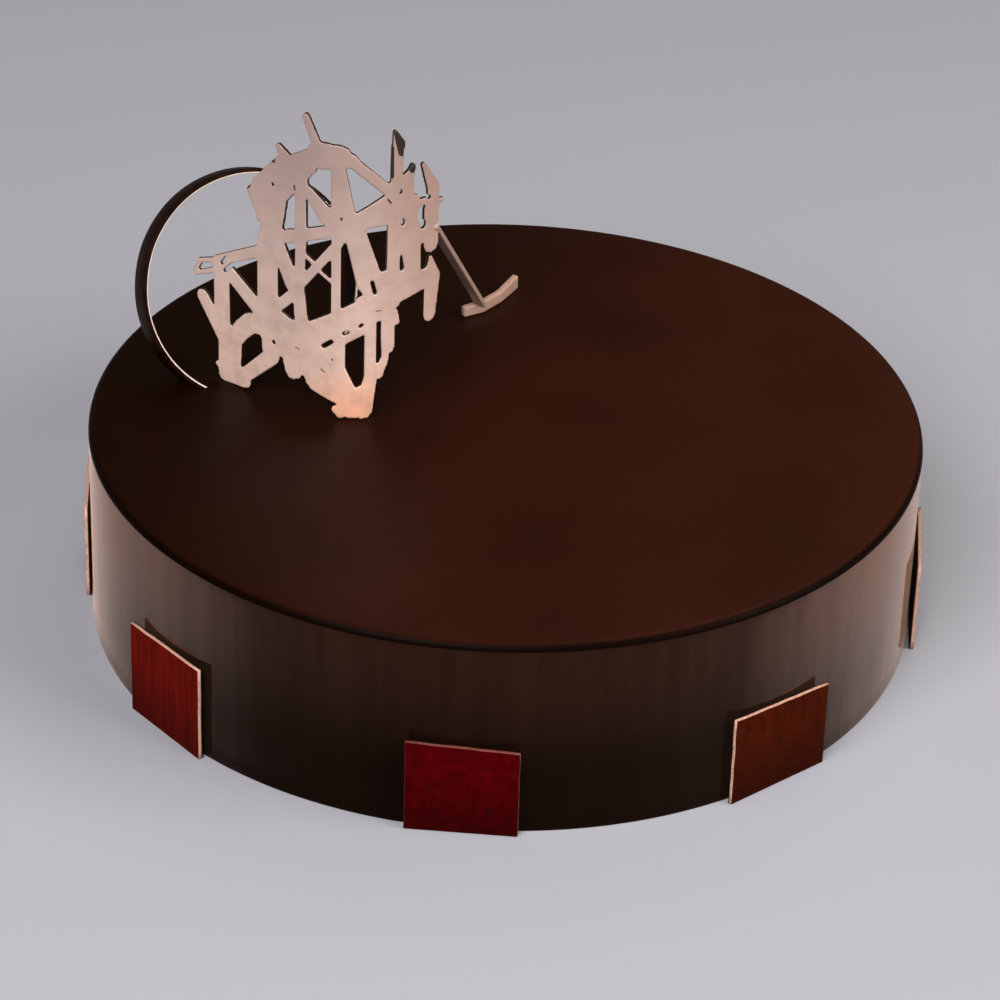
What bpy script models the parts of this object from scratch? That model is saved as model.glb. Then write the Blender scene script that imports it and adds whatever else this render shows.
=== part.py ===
# Glazed chocolate torte, uncut, with eight upright chocolate plaques against its side and
# two chocolate decorations standing on its top: a ribbon ring and a piped lattice.
# Metres, +Z up. The origin is the centre of the cake's flat underside.
# The side with the lattice's rounded front faces -Y.

import math

import bmesh
import bpy
from mathutils import Matrix, Vector
from mathutils.geometry import delaunay_2d_cdt

mm = 0.001

# Cake: a 24 cm round, 6 cm high, under one coat of glaze
cakeRadius = 120.0 * mm
cakeHeight = 60.0 * mm
topFall = 0.25 * mm           # how far the top has sunk where the rim's curve begins
topFallWidth = 16.0 * mm      # width of that slope
rimRadius = 2.0 * mm
footRadius = 1.2 * mm
cakeSides = 120
rimSteps = 6

# Room left between pieces that touch
clearance = 0.3 * mm
cakeTop = cakeHeight + clearance

# Plaques: thin bars standing flat against the side, an eighth of a turn apart
plaqueThickness = 1.5 * mm
plaqueEdge = 0.25 * mm
plaqueGap = 0.5 * mm
plaqueColours = {
    "bright": (0.19, 0.008, 0.004),
    "deep": (0.075, 0.001, 0.003),
    "brown": (0.08, 0.012, 0.004),
}
# name: angle from the front in degrees, turn about its own middle in degrees,
# width, height of the left and of the right edge in mm, colour
plaques = {
    "plaque_front": (-4.1, 0.0, 31.0, 28.4, 27.0, "deep"),
    "plaque_front_right": (39.8, 0.0, 34.0, 27.6, 26.2, "brown"),
    "plaque_right": (86.0, 0.0, 32.0, 28.4, 28.8, "brown"),
    "plaque_back_right": (131.0, 0.0, 32.0, 29.6, 29.0, "deep"),
    "plaque_back": (176.0, 0.0, 31.0, 28.8, 29.6, "deep"),
    "plaque_back_left": (221.0, 0.0, 33.0, 29.2, 28.6, "bright"),
    "plaque_left": (267.6, 6.0, 31.0, 28.8, 29.4, "bright"),
    "plaque_front_left": (310.9, 0.0, 31.6, 28.8, 29.4, "bright"),
}

# Ring: a ribbon bent round to a hoop, leaning back, its lower part in the glaze
ringRadius = 33.3 * mm
ringWidth = 7.8 * mm
ringThickness = 1.5 * mm
ringCentre = Vector((-76.4, 30.9, 83.1)) * mm
ringTurn = math.radians(27.6)
ringLean = math.radians(21.7)
ringSteps = 64

# Lattice: lines piped on a flat sheet, which was then bent round to stand up.
# Across (s) and up (z) are measured on the flat sheet in mm, from the foremost point of
# its lower edge.
sheetThickness = 1.25 * mm
lineSpread = -0.35            # how much wider than listed each line lies, in mm
sheetFront = Vector((-45.0, -6.3)) * mm
bendRadius = 26.0 * mm
bendLeft = math.radians(34.0)
bendRight = math.radians(40.0)
bendPitch = 3.4
endSteps = 4
thinLine = 1.5                # lines up to this width, in mm, keep it and get a plainer end
thinEndSteps = 3
foldLow = -5.0
foldHigh = 105.0

# each line: s, z and width where it starts, s, z and width where it ends
frameLines = [
    (-27.2, 66, 7.8, -27.1, 22, 7.8),
    (-33, 65.4, 3.2, -27, 70, 5),
    (-32, 64.5, 4.5, -28.5, 58, 4.5),
    (-30.2, 67.8, 5.4, -20.5, 78.6, 5.6),
    (-28, 63, 9, -15.4, 78.6, 8.4),
    (-23.2, 82.2, 2.2, -20, 78, 6),
    (-23.5, 68, 7, -13, 80, 7),
    (-18.5, 77.8, 5.8, -9, 83.8, 5.8),
    (-13.7, 94, 2.8, -9.6, 85, 3.4),
    (-9.5, 84.2, 6.6, -3, 84, 6.6),
    (-9.5, 83.2, 8.6, -6.2, 83.3, 8.4),
    (-4, 84.4, 5, 0, 82.3, 5),
    (-1, 83.4, 3.8, 12, 71.6, 3.6),
    (-15.6, 79, 5, -15.2, 73, 5),
]
uprightLines = [
    (-15.5, 76, 4.2, -15.4, 56, 4.6),
    (-15.2, 57, 4.2, -15.8, 40, 3.8),
    (-16, 40, 4.4, -15, 29, 5.2),
    (-21.6, 67, 3.2, -23.4, 57, 3.8),
    (-4.1, 83, 4, -2.1, 64, 7.8),
    (-12.6, 71.2, 3.8, -6.8, 64.4, 6),
    (-4.2, 62, 3.2, -4.2, 32, 3.2),
    (-3.4, 58.2, 3, -0.6, 58.4, 3),
    (0.6, 62, 6.4, 5.6, 44, 8.2),
    (9.6, 47, 2, 9.6, 42, 2.4),
    (-23.8, 51.6, 5.6, -17.9, 40, 6.2),
    (-15.3, 41.2, 3.2, -3.4, 56.9, 3.2),
    (-25, 29.8, 3.8, -15.6, 39.4, 3.8),
    (-9.4, 47.2, 1.1, -5.2, 44, 1.1),
    (-14.2, 51.2, 1.4, -10.8, 49, 1.4),
]
barLines = [
    (-28, 52.2, 4.8, -14, 57, 4.4),
    (-14, 57.4, 4.2, 4, 63.5, 4.5),
    (4, 63.8, 4.8, 13, 64.9, 5.6),
    (2, 64.8, 3.8, 12, 70.2, 5),
    (-26, 25, 8, -10, 25, 8),
    (-20, 22.6, 5.6, 6, 38, 5.6),
    (-12, 24, 5, 14, 41, 5),
    (4, 37.6, 6.4, 24.5, 42, 6.8),
    (-24, 28.4, 5, -17, 26, 4),
]
leftLines = [
    (-45.5, 38.8, 3.6, -29, 47.4, 4),
    (-53.8, 32.8, 1.8, -51.8, 36.4, 1.8),
    (-52, 36.8, 1.8, -44, 39.6, 2),
    (-53.4, 32.2, 1.4, -46, 35.6, 2.2),
    (-47.5, 38, 2.2, -42.5, 36, 2.4),
    (-43.8, 37, 6, -43.6, 17, 6),
    (-50.8, 25.7, 4.6, -42.5, 13.5, 5.4),
    (-43, 38, 4.8, -29, 27, 5.6),
    (-42, 17, 6.4, -42, 3.3, 6.8),
    (-43, 2.1, 4.6, -35.4, 2.4, 4.6),
    (-45.2, 5, 2.4, -42, 5, 4),
    (-37.4, 2.6, 4.6, -25.4, 14.4, 5.6),
    (-40.4, 6, 7.4, -39.6, 14, 6.4),
    (-39.4, 14.5, 5.4, -36.6, 19.2, 6.4),
    (-36.6, 19.2, 6.4, -33.2, 22.6, 6.8),
    (-33.2, 22.6, 6.8, -28, 23.4, 7),
    (-26.4, 21, 6.4, -26.4, 15.6, 5.8),
    (-23.4, 20, 4.4, -23.4, 16.2, 3.4),
]
rightLines = [
    (12.5, 90.4, 1.5, 13.7, 86.3, 4.6),
    (13.4, 86.2, 4.2, 12.9, 72, 3.8),
    (12.6, 74, 4.4, 12.2, 42, 4.4),
    (15, 76.2, 1.8, 15, 66, 1.8),
    (14.5, 66, 2, 14.5, 42.4, 2),
    (18.5, 78.6, 2.2, 17.1, 75, 4),
    (17, 76, 3.8, 17.2, 60, 4.6),
    (18.2, 67, 6.6, 18.3, 43, 7.4),
    (22.2, 78, 1.8, 25.9, 70, 4.6),
    (25.8, 70, 4.4, 25.8, 63, 4.6),
    (27, 64.8, 1.8, 29, 65.2, 1.4),
    (20, 66.4, 2.6, 25, 66.4, 2.6),
    (25.2, 64, 5.4, 25.3, 52, 5.6),
    (21.8, 57, 2.6, 21.8, 54, 2.2),
    (25.2, 48, 1.2, 26, 41.5, 6),
    (26, 41.5, 6, 25.2, 29.3, 4.6),
]
footLines = [
    (-21, 22, 5.4, -18.3, 11.6, 5.2),
    (-18, 20, 6, -16.6, 11.6, 3.6),
    (-15.6, 15, 3, -14.8, 12.6, 2.4),
    (-15, 21, 7, -9.6, 11.3, 7.8),
    (-10, 11.6, 8, -2, 8, 7.6),
    (-11.5, 21, 2.5, -10, 20, 2.5),
    (-7, 21, 7.4, 0.6, 3.7, 7.6),
    (-8, 22, 2.8, 5, 30, 3),
    (-1, 28.6, 2.4, 4, 31.4, 2.4),
    (-4, 3, 3, -2.6, 1.6, 3.2),
    (5.8, 36, 3.9, 5.8, 12, 3.9),
    (6, 14, 4.2, 3.8, 2.9, 6),
    (1.8, 9.2, 2.4, 3.4, 10.4, 2.2),
    (11, 36, 4.6, 10.9, 22.8, 4.8),
    (10.4, 21.4, 2.8, 9.6, 17.6, 3),
    (9.2, 17.4, 3.2, 8.2, 14.4, 3.4),
    (13, 34, 2.4, 13.8, 30.5, 2.2),
    (8, 38, 7, 12, 38, 7),
    (8.2, 37, 3, 8.2, 33, 3),
    (-3.3, 30, 4.2, -3.3, 16, 4.2),
]
# gaps that stayed open between lines, given the same way
gapLines = [
    (8.1, 31, 1.1, 8.7, 19.8, 0.8),
    (-7.8, 23.2, 1.4, -5.4, 25, 1.4),
    (-1.9, 28, 1.1, -0.7, 28.5, 1),
    (2.7, 30.4, 0.9, 3.4, 31.1, 0.9),
    (14.8, 51.6, 0.6, 15.1, 47.4, 1.5),
    (6.1, 44.6, 1, 7, 41, 1.2),
    (14.3, 72, 1, 14.3, 71.4, 1),
    (15.2, 62.6, 1.1, 15.2, 61.4, 1.1),
    (-25.2, 69.6, 1, -25, 69.8, 1),
    (-25, 19.4, 1, -24.8, 18.8, 1),
    (21.4, 63.9, 2.2, 21.4, 61, 2.2),
    (22.6, 60, 1.2, 22.7, 58.6, 1.1),
    (24, 67.6, 1.1, 24.4, 67.1, 1.1),
    (-43.7, 38.5, 0.9, -42, 41, 0.9),
    (-42.6, 36.5, 1.1, -40.4, 38.8, 1.1),
    (-20.9, 58.4, 1.3, -21.2, 57, 1.3),
    (-30.6, 55.6, 2.2, -30.8, 52.6, 1.2),
]

# The line that fell behind the sheet: a thin strut down to a low hook on the cake
strutTop = (26.2, 57.5)
strutFoot = Vector((-8.8, 60.6, 62.6)) * mm
strutWidth = 3.0 * mm
strutThickness = 1.6 * mm
# along the hook: x, y and height in mm
hookPath = [
    (-14.2, 57.0, 3.4),
    (-8.6, 60.3, 3.8),
    (-3.4, 67.0, 3.8),
    (1.4, 76.2, 4.6),
]
hookThickness = 2.2 * mm
hookEdge = 0.4 * mm

mergeDistance = 0.0001
smoothAngle = math.radians(35.0)


def clearScene():
    for old in list(bpy.data.objects):
        bpy.data.objects.remove(old, do_unlink=True)


def makeMaterial(name, colour, roughness):
    material = bpy.data.materials.new(name)
    material.use_nodes = True
    shader = material.node_tree.nodes["Principled BSDF"]
    shader.inputs["Base Color"].default_value = (*colour, 1.0)
    shader.inputs["Roughness"].default_value = roughness
    shader.inputs["Metallic"].default_value = 0.0
    return material


def addObject(name, build, material):
    """Turn a bmesh into a named object with its one material."""
    bmesh.ops.recalc_face_normals(build, faces=build.faces)
    mesh = bpy.data.meshes.new(name)
    build.to_mesh(mesh)
    build.free()
    piece = bpy.data.objects.new(name, mesh)
    bpy.context.scene.collection.objects.link(piece)
    piece.data.materials.append(material)
    piece.data.shade_smooth()
    piece.data.set_sharp_from_angle(angle=smoothAngle)
    return piece


def cakeProfile():
    """The outline from the middle of the top, over the rim and down to the underside."""
    shoulder = cakeHeight - topFall
    rimCentre = (cakeRadius - rimRadius, shoulder - rimRadius)
    slopeStart = rimCentre[0] - topFallWidth
    points = [(0.0, cakeHeight), (0.5 * slopeStart, cakeHeight), (slopeStart, cakeHeight)]
    for share in (0.35, 0.7):
        points.append((slopeStart + share * topFallWidth, cakeHeight - topFall * share ** 2))
    for step in range(rimSteps + 1):
        angle = 0.5 * math.pi * (1.0 - step / rimSteps)
        points.append((rimCentre[0] + rimRadius * math.cos(angle), rimCentre[1] + rimRadius * math.sin(angle)))
    footCentre = (cakeRadius - footRadius, footRadius)
    for step in range(4):
        angle = -0.5 * math.pi * step / 3
        points.append((footCentre[0] + footRadius * math.cos(angle), footCentre[1] + footRadius * math.sin(angle)))
    points.append((0.0, 0.0))
    return points


def makeCake(material):
    build = bmesh.new()
    profile = cakeProfile()
    top = build.verts.new((0.0, 0.0, profile[0][1]))
    bottom = build.verts.new((0.0, 0.0, profile[-1][1]))
    rings = []
    for radius, height in profile[1:-1]:
        ring = []
        for side in range(cakeSides):
            angle = 2.0 * math.pi * side / cakeSides
            ring.append(build.verts.new((radius * math.cos(angle), radius * math.sin(angle), height)))
        rings.append(ring)
    for side in range(cakeSides):
        after = (side + 1) % cakeSides
        build.faces.new((top, rings[0][side], rings[0][after]))
        build.faces.new((bottom, rings[-1][after], rings[-1][side]))
        for upper, lower in zip(rings, rings[1:]):
            build.faces.new((upper[side], lower[side], lower[after], upper[after]))
    return addObject("cake", build, material)


def makePlaque(name, material, angleDegrees, turnDegrees, width, leftHeight, rightHeight):
    """A flat bar with a slightly skew top, its foot on the base plane, close against the cake."""
    half = 0.5 * width * mm
    bar = bmesh.new()
    outline = [(-half, 0.0), (half, 0.0), (half, rightHeight * mm), (-half, leftHeight * mm)]
    front = [bar.verts.new((x, 0.0, z)) for x, z in outline]
    back = [bar.verts.new((x, plaqueThickness, z)) for x, z in outline]
    bar.faces.new(front)
    bar.faces.new(list(reversed(back)))
    for first in range(4):
        second = (first + 1) % 4
        bar.faces.new((front[second], front[first], back[first], back[second]))
    bmesh.ops.bevel(
        bar, geom=list(bar.edges), offset=plaqueEdge, segments=2, profile=0.5, affect="EDGES", clamp_overlap=True
    )
    turnAngle = math.radians(turnDegrees)
    turn = Matrix.Rotation(turnAngle, 4, "Z")
    distance = (cakeRadius + plaqueGap + plaqueThickness) / math.cos(turnAngle)
    outward = Matrix.Translation((0.0, -distance, 0.0))
    around = Matrix.Rotation(math.radians(angleDegrees), 4, "Z")
    bmesh.ops.transform(bar, matrix=around @ outward @ turn, verts=bar.verts)
    return addObject(name, bar, material)


def makeRing(material):
    """A hoop of ribbon, cut level where it meets the cake's top."""
    sideways = Vector((math.cos(ringTurn), math.sin(ringTurn), 0.0))
    axis = Vector((
        math.sin(ringTurn) * math.cos(ringLean),
        -math.cos(ringTurn) * math.cos(ringLean),
        math.sin(ringLean),
    ))
    upward = axis.cross(sideways) * -1.0
    corners = [
        (-0.5 * ringThickness, -0.5 * ringWidth),
        (0.5 * ringThickness, -0.5 * ringWidth),
        (0.5 * ringThickness, 0.5 * ringWidth),
        (-0.5 * ringThickness, 0.5 * ringWidth),
    ]
    build = bmesh.new()
    loops = []
    for step in range(ringSteps):
        angle = 2.0 * math.pi * step / ringSteps
        outward = sideways * math.cos(angle) + upward * math.sin(angle)
        loop = []
        for radial, along in corners:
            loop.append(build.verts.new(ringCentre + outward * (ringRadius + radial) + axis * along))
        loops.append(loop)
    for step in range(ringSteps):
        first = loops[step]
        second = loops[(step + 1) % ringSteps]
        for corner in range(4):
            after = (corner + 1) % 4
            build.faces.new((first[corner], first[after], second[after], second[corner]))
    everything = list(build.verts) + list(build.edges) + list(build.faces)
    cut = bmesh.ops.bisect_plane(
        build, geom=everything, dist=mergeDistance * mm, plane_co=(0.0, 0.0, cakeTop),
        plane_no=(0.0, 0.0, 1.0), clear_inner=True
    )
    rim = [item for item in cut["geom_cut"] if isinstance(item, bmesh.types.BMEdge)]
    bmesh.ops.holes_fill(build, edges=rim)
    return addObject("ring", build, material)


def lineOutline(line, spread):
    """The outline of one piped line on the flat sheet: straight sides and round ends."""
    s0, z0, w0, s1, z1, w1 = line
    direction = math.atan2(z1 - z0, s1 - s0)
    turns = (direction + 0.5 * math.pi, direction - 0.5 * math.pi)
    points = []
    for s, z, listed, start in ((s0, z0, w0, turns[0]), (s1, z1, w1, turns[1])):
        width = listed + spread if listed > thinLine else listed
        steps = endSteps if width > thinLine else thinEndSteps
        for step in range(steps + 1):
            angle = start + math.pi * step / steps
            points.append(Vector((s + 0.5 * width * math.cos(angle), z + 0.5 * width * math.sin(angle))))
    return points


def bendPoint(s, depth):
    """Plan position of a point s mm across the sheet, depth behind its front face."""
    angle = max(-bendLeft, min(bendRight, s * mm / bendRadius))
    beyond = s * mm - angle * bendRadius
    centre = sheetFront + Vector((0.0, bendRadius))
    radius = bendRadius - depth
    x = centre.x + radius * math.sin(angle) + beyond * math.cos(angle)
    y = centre.y - radius * math.cos(angle) + beyond * math.sin(angle)
    return x, y


def latticeSheet():
    """The piped lines united on the flat, given their thickness and bent."""
    solids = frameLines + uprightLines + barLines + leftLines + rightLines + footLines
    points = []
    faces = []
    for index, line in enumerate(solids + gapLines):
        outline = lineOutline(line, lineSpread if index < len(solids) else 0.0)
        faces.append(list(range(len(points), len(points) + len(outline))))
        points.extend(outline)
    edges = []
    firstFold = -bendLeft * bendRadius / mm
    lastFold = bendRight * bendRadius / mm
    folds = int((lastFold - firstFold) / bendPitch) + 1
    for fold in range(folds + 1):
        s = firstFold + (lastFold - firstFold) * fold / folds
        edges.append((len(points), len(points) + 1))
        points.append(Vector((s, foldLow)))
        points.append(Vector((s, foldHigh)))
    flatPoints, _, flatFaces, _, _, sources = delaunay_2d_cdt(points, edges, faces, 0, mergeDistance, True)
    kept = []
    for face, source in zip(flatFaces, sources):
        inside = any(index < len(solids) for index in source)
        gap = any(index >= len(solids) for index in source)
        if inside and not gap:
            kept.append(face)
    build = bmesh.new()
    front = {}
    back = {}
    edgeUse = {}
    for face in kept:
        for index in face:
            if index not in front:
                s, z = flatPoints[index]
                front[index] = build.verts.new((*bendPoint(s, 0.0), cakeTop + z * mm))
                back[index] = build.verts.new((*bendPoint(s, sheetThickness), cakeTop + z * mm))
        build.faces.new([front[index] for index in face])
        build.faces.new([back[index] for index in reversed(face)])
        for first, second in zip(face, face[1:] + face[:1]):
            edgeUse[(first, second)] = True
    for first, second in edgeUse:
        if (second, first) not in edgeUse:
            build.faces.new((front[second], front[first], back[first], back[second]))
    return build


def addBlock(build, sections):
    """A closed bar through a list of four-cornered sections."""
    loops = [[build.verts.new(corner) for corner in section] for section in sections]
    for first, second in zip(loops, loops[1:]):
        for corner in range(4):
            after = (corner + 1) % 4
            build.faces.new((first[corner], first[after], second[after], second[corner]))
    build.faces.new(list(reversed(loops[0])))
    build.faces.new(loops[-1])


def makeStrut():
    top = Vector((*bendPoint(strutTop[0], 0.5 * sheetThickness), cakeTop + strutTop[1] * mm))
    run = (strutFoot - top).normalized()
    across = run.cross(Vector((0.0, 0.0, 1.0))).normalized()
    through = run.cross(across).normalized()
    sections = []
    for centre in (top, strutFoot):
        section = []
        for side, depth in ((-0.5, -0.5), (0.5, -0.5), (0.5, 0.5), (-0.5, 0.5)):
            section.append(centre + across * side * strutWidth + through * depth * strutThickness)
        sections.append(section)
    build = bmesh.new()
    addBlock(build, sections)
    bmesh.ops.recalc_face_normals(build, faces=build.faces)
    return build


def makeHook():
    """A low strip standing on the cake, bent in plan, its far end turned up a little."""
    sections = []
    path = [Vector((x, y)) * mm for x, y, _ in hookPath]
    for index, point in enumerate(path):
        before = path[max(index - 1, 0)]
        after = path[min(index + 1, len(path) - 1)]
        along = (after - before).normalized()
        side = Vector((-along.y, along.x)) * 0.5 * hookThickness
        top = cakeTop + hookPath[index][2] * mm
        section = []
        for sign, height in ((-1.0, cakeTop), (1.0, cakeTop), (1.0, top), (-1.0, top)):
            spot = point + side * sign
            section.append((spot.x, spot.y, height))
        sections.append(section)
    build = bmesh.new()
    addBlock(build, sections)
    bmesh.ops.recalc_face_normals(build, faces=build.faces)
    bmesh.ops.bevel(build, geom=list(build.edges), offset=hookEdge, segments=1, affect="EDGES", clamp_overlap=True)
    return build


def makeLattice(material):
    """The bent sheet with its strut and hook, joined into one solid."""
    lattice = addObject("lattice", latticeSheet(), material)
    extras = bpy.data.collections.new("latticeExtras")
    for name, build in (("strutTool", makeStrut()), ("hookTool", makeHook())):
        tool = addObject(name, build, material)
        bpy.context.scene.collection.objects.unlink(tool)
        extras.objects.link(tool)
    bpy.context.scene.collection.children.link(extras)
    union = lattice.modifiers.new("joinExtras", "BOOLEAN")
    union.operation = "UNION"
    union.operand_type = "COLLECTION"
    union.collection = extras
    bpy.context.view_layer.objects.active = lattice
    lattice.select_set(True)
    bpy.ops.object.modifier_apply(modifier=union.name)
    for tool in list(extras.objects):
        bpy.data.objects.remove(tool, do_unlink=True)
    bpy.data.collections.remove(extras)
    return lattice


def main():
    clearScene()
    glaze = makeMaterial("Dark chocolate glaze", (0.021, 0.009, 0.005), 0.12)
    makeCake(glaze)
    for name, (angle, turn, width, left, right, colour) in plaques.items():
        finish = makeMaterial("Tinted chocolate " + name, plaqueColours[colour], 0.2)
        makePlaque(name, finish, angle, turn, width, left, right)
    makeRing(makeMaterial("Dark chocolate ribbon", (0.03, 0.012, 0.007), 0.3))
    makeLattice(makeMaterial("Pearl chocolate lattice", (0.55, 0.4, 0.35), 0.35))


main()
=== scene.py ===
import math
import random

import bmesh
import bpy
import numpy as np
from mathutils import Matrix, Vector


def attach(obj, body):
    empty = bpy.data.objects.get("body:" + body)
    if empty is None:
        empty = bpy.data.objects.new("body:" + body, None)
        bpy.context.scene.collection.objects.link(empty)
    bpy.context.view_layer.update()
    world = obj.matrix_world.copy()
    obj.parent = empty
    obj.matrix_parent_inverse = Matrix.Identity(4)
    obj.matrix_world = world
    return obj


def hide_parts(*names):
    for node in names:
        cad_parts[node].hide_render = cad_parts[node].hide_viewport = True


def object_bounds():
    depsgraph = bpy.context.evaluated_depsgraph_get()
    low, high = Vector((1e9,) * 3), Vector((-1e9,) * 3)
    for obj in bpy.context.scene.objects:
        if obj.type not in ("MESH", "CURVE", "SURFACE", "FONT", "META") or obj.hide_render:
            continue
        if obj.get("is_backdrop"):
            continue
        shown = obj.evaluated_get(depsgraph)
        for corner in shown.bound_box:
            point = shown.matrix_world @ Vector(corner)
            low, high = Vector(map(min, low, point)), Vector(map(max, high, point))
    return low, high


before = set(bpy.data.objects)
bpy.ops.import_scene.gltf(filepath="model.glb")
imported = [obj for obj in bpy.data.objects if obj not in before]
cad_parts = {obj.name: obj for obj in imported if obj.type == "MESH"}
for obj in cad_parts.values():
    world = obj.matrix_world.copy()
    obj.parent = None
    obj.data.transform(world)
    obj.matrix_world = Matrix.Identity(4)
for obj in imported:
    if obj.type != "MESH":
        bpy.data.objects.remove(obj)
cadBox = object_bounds()
mm = 0.001
perMetre = 1000  # mm in a metre; a texture's scale is this over its pattern's size in mm
root = "root"
print("frame loaded:", len(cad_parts), "solids")


# colours are written as sRGB hex and turned linear here
def linear(hexText):
    parts = [int(hexText[i:i + 2], 16) / 255 for i in (1, 3, 5)]
    return tuple(v / 12.92 if v <= 0.04045 else ((v + 0.055) / 1.055) ** 2.4 for v in parts) + (1.0,)


# one node, its settings and what feeds it: a socket is linked, anything else is set
def addNode(tree, kind, feeds=None, **settings):
    node = tree.nodes.new(kind)
    for name, value in settings.items():
        setattr(node, name, value)
    for socket, value in (feeds or {}).items():
        if isinstance(value, bpy.types.NodeSocket):
            tree.links.new(value, node.inputs[socket])
        else:
            node.inputs[socket].default_value = value
    return node


# the two ends that a range is read between, given in mm where the unit is mm
def between(ends, unit=1.0):
    return {"From Min": ends[0] * unit, "From Max": ends[1] * unit}


def startMaterial(name):
    material = bpy.data.materials.new(name)
    material.use_nodes = True
    tree = material.node_tree
    tree.nodes.clear()
    return material, tree


def finishMaterial(tree, feeds):
    shader = addNode(tree, "ShaderNodeBsdfPrincipled", feeds)
    addNode(tree, "ShaderNodeOutputMaterial", {"Surface": shader.outputs[0]})


def meshFrom(name, bm):
    mesh = bpy.data.meshes.new(name)
    bm.to_mesh(mesh)
    bm.free()
    return mesh


def addPiece(name, mesh, materials, stands):
    piece = bpy.data.objects.new(name, mesh)
    bpy.context.scene.collection.objects.link(piece)
    for material in materials:
        mesh.materials.append(material)
    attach(piece, root)
    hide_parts(*stands)
    return piece


# The camera, at the place and angle the photograph was taken from
camera = {
    "lens": 144.0,          # mm
    "sensor": 36.0,
    "near": 0.05,           # m
    "far": 30.0,
    "place": (0.0, -0.9952, 0.6426),
    "right": (0.9994, 0.0182, 0.0279),
    "forward": (-0.0009, 0.8520, -0.5235),
}


def makeCamera():
    data = bpy.data.cameras.new("camera")
    data.lens = camera["lens"]
    data.sensor_width = camera["sensor"]
    data.sensor_fit = "HORIZONTAL"
    data.clip_start = camera["near"]
    data.clip_end = camera["far"]
    rig = bpy.data.objects.new("camera", data)
    bpy.context.scene.collection.objects.link(rig)
    forward = Vector(camera["forward"]).normalized()
    right = Vector(camera["right"])
    right = (right - forward * forward.dot(right)).normalized()
    up = right.cross(forward)
    turn = Matrix((right, up, -forward)).transposed().to_4x4()
    rig.matrix_world = Matrix.Translation(camera["place"]) @ turn
    bpy.context.scene.camera = rig


makeCamera()
print("camera placed")


# Floor and light
studio = {
    "floorColour": "#A6AAB6",
    "floorSize": 9.0,       # m
    "floorDrop": 0.2,       # mm below the cake's foot, so that the two don't share a plane
    "roomColour": "#F4F1EE",
    "horizon": 0.40,        # how bright the room is level with the table
    "above": 0.05,          # and overhead, kept low so that the glaze's top stays dark
    "fade": (0.0, 0.22),    # sine of the height above the horizon, from the one to the other
    "aim": (0, 0, 0.04),    # m, where every lamp points
    "lamps": {
        "keyLight": {"power": 43.0, "size": 1.3, "place": (-0.5, -1.25, 1.35), "colour": "#FFF8F2"},
        "fillLight": {"power": 29.0, "size": 1.2, "place": (1.4, -0.6, 0.9), "colour": "#FFF6EC"},
        # lights what stands at the back without shining in the glaze
        "backLight": {"power": 6.0, "size": 1.2, "place": (0.5, 1.0, 1.9), "colour": "#FFF6EC"},
        # a dim warm card far behind, seen only as a glow in the glaze
        "warmCard": {"power": 1.1, "size": 0.7, "place": (0.55, 1.5, 1.0), "colour": "#E0925A"},
    },
}


def makeFloor():
    material, tree = startMaterial("Matt painted table")  # a flat pale grey with no pattern
    finishMaterial(tree, {"Base Color": linear(studio["floorColour"]), "Roughness": 0.7, "IOR": 1.45})
    half = studio["floorSize"] / 2
    corners = [(-half, -half, 0), (half, -half, 0), (half, half, 0), (-half, half, 0)]
    mesh = bpy.data.meshes.new("floor")
    mesh.from_pydata(corners, [], [(0, 1, 2, 3)])
    mesh.materials.append(material)
    floor = bpy.data.objects.new("floor", mesh)
    floor.location.z = -studio["floorDrop"] * mm
    bpy.context.scene.collection.objects.link(floor)
    floor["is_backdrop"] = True


def makeRoom():
    world = bpy.data.worlds.new("studio")
    bpy.context.scene.world = world
    world.use_nodes = True
    tree = world.node_tree
    tree.nodes.clear()
    place = addNode(tree, "ShaderNodeTexCoord").outputs["Generated"]
    height = addNode(tree, "ShaderNodeSeparateXYZ", {0: place}).outputs["Z"]
    level = addNode(tree, "ShaderNodeMapRange", {
        "Value": height, **between(studio["fade"]), "To Min": studio["horizon"], "To Max": studio["above"],
    }, interpolation_type="SMOOTHSTEP")
    glow = addNode(tree, "ShaderNodeBackground", {
        "Color": linear(studio["roomColour"]), "Strength": level.outputs[0],
    })
    addNode(tree, "ShaderNodeOutputWorld", {"Surface": glow.outputs[0]})


def makeLamp(name, settings):
    data = bpy.data.lights.new(name, "AREA")
    data.shape = "SQUARE"
    data.size = settings["size"]
    data.energy = settings["power"]
    data.color = linear(settings["colour"])[:3]
    lamp = bpy.data.objects.new(name, data)
    bpy.context.scene.collection.objects.link(lamp)
    lamp.location = settings["place"]
    ahead = Vector(studio["aim"]) - Vector(settings["place"])
    lamp.rotation_euler = ahead.to_track_quat("-Z", "Y").to_euler()


bpy.context.scene.view_settings.view_transform = "Standard"
makeFloor()
makeRoom()
for name, settings in studio["lamps"].items():
    makeLamp(name, settings)
print("floor and lights placed")


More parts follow.
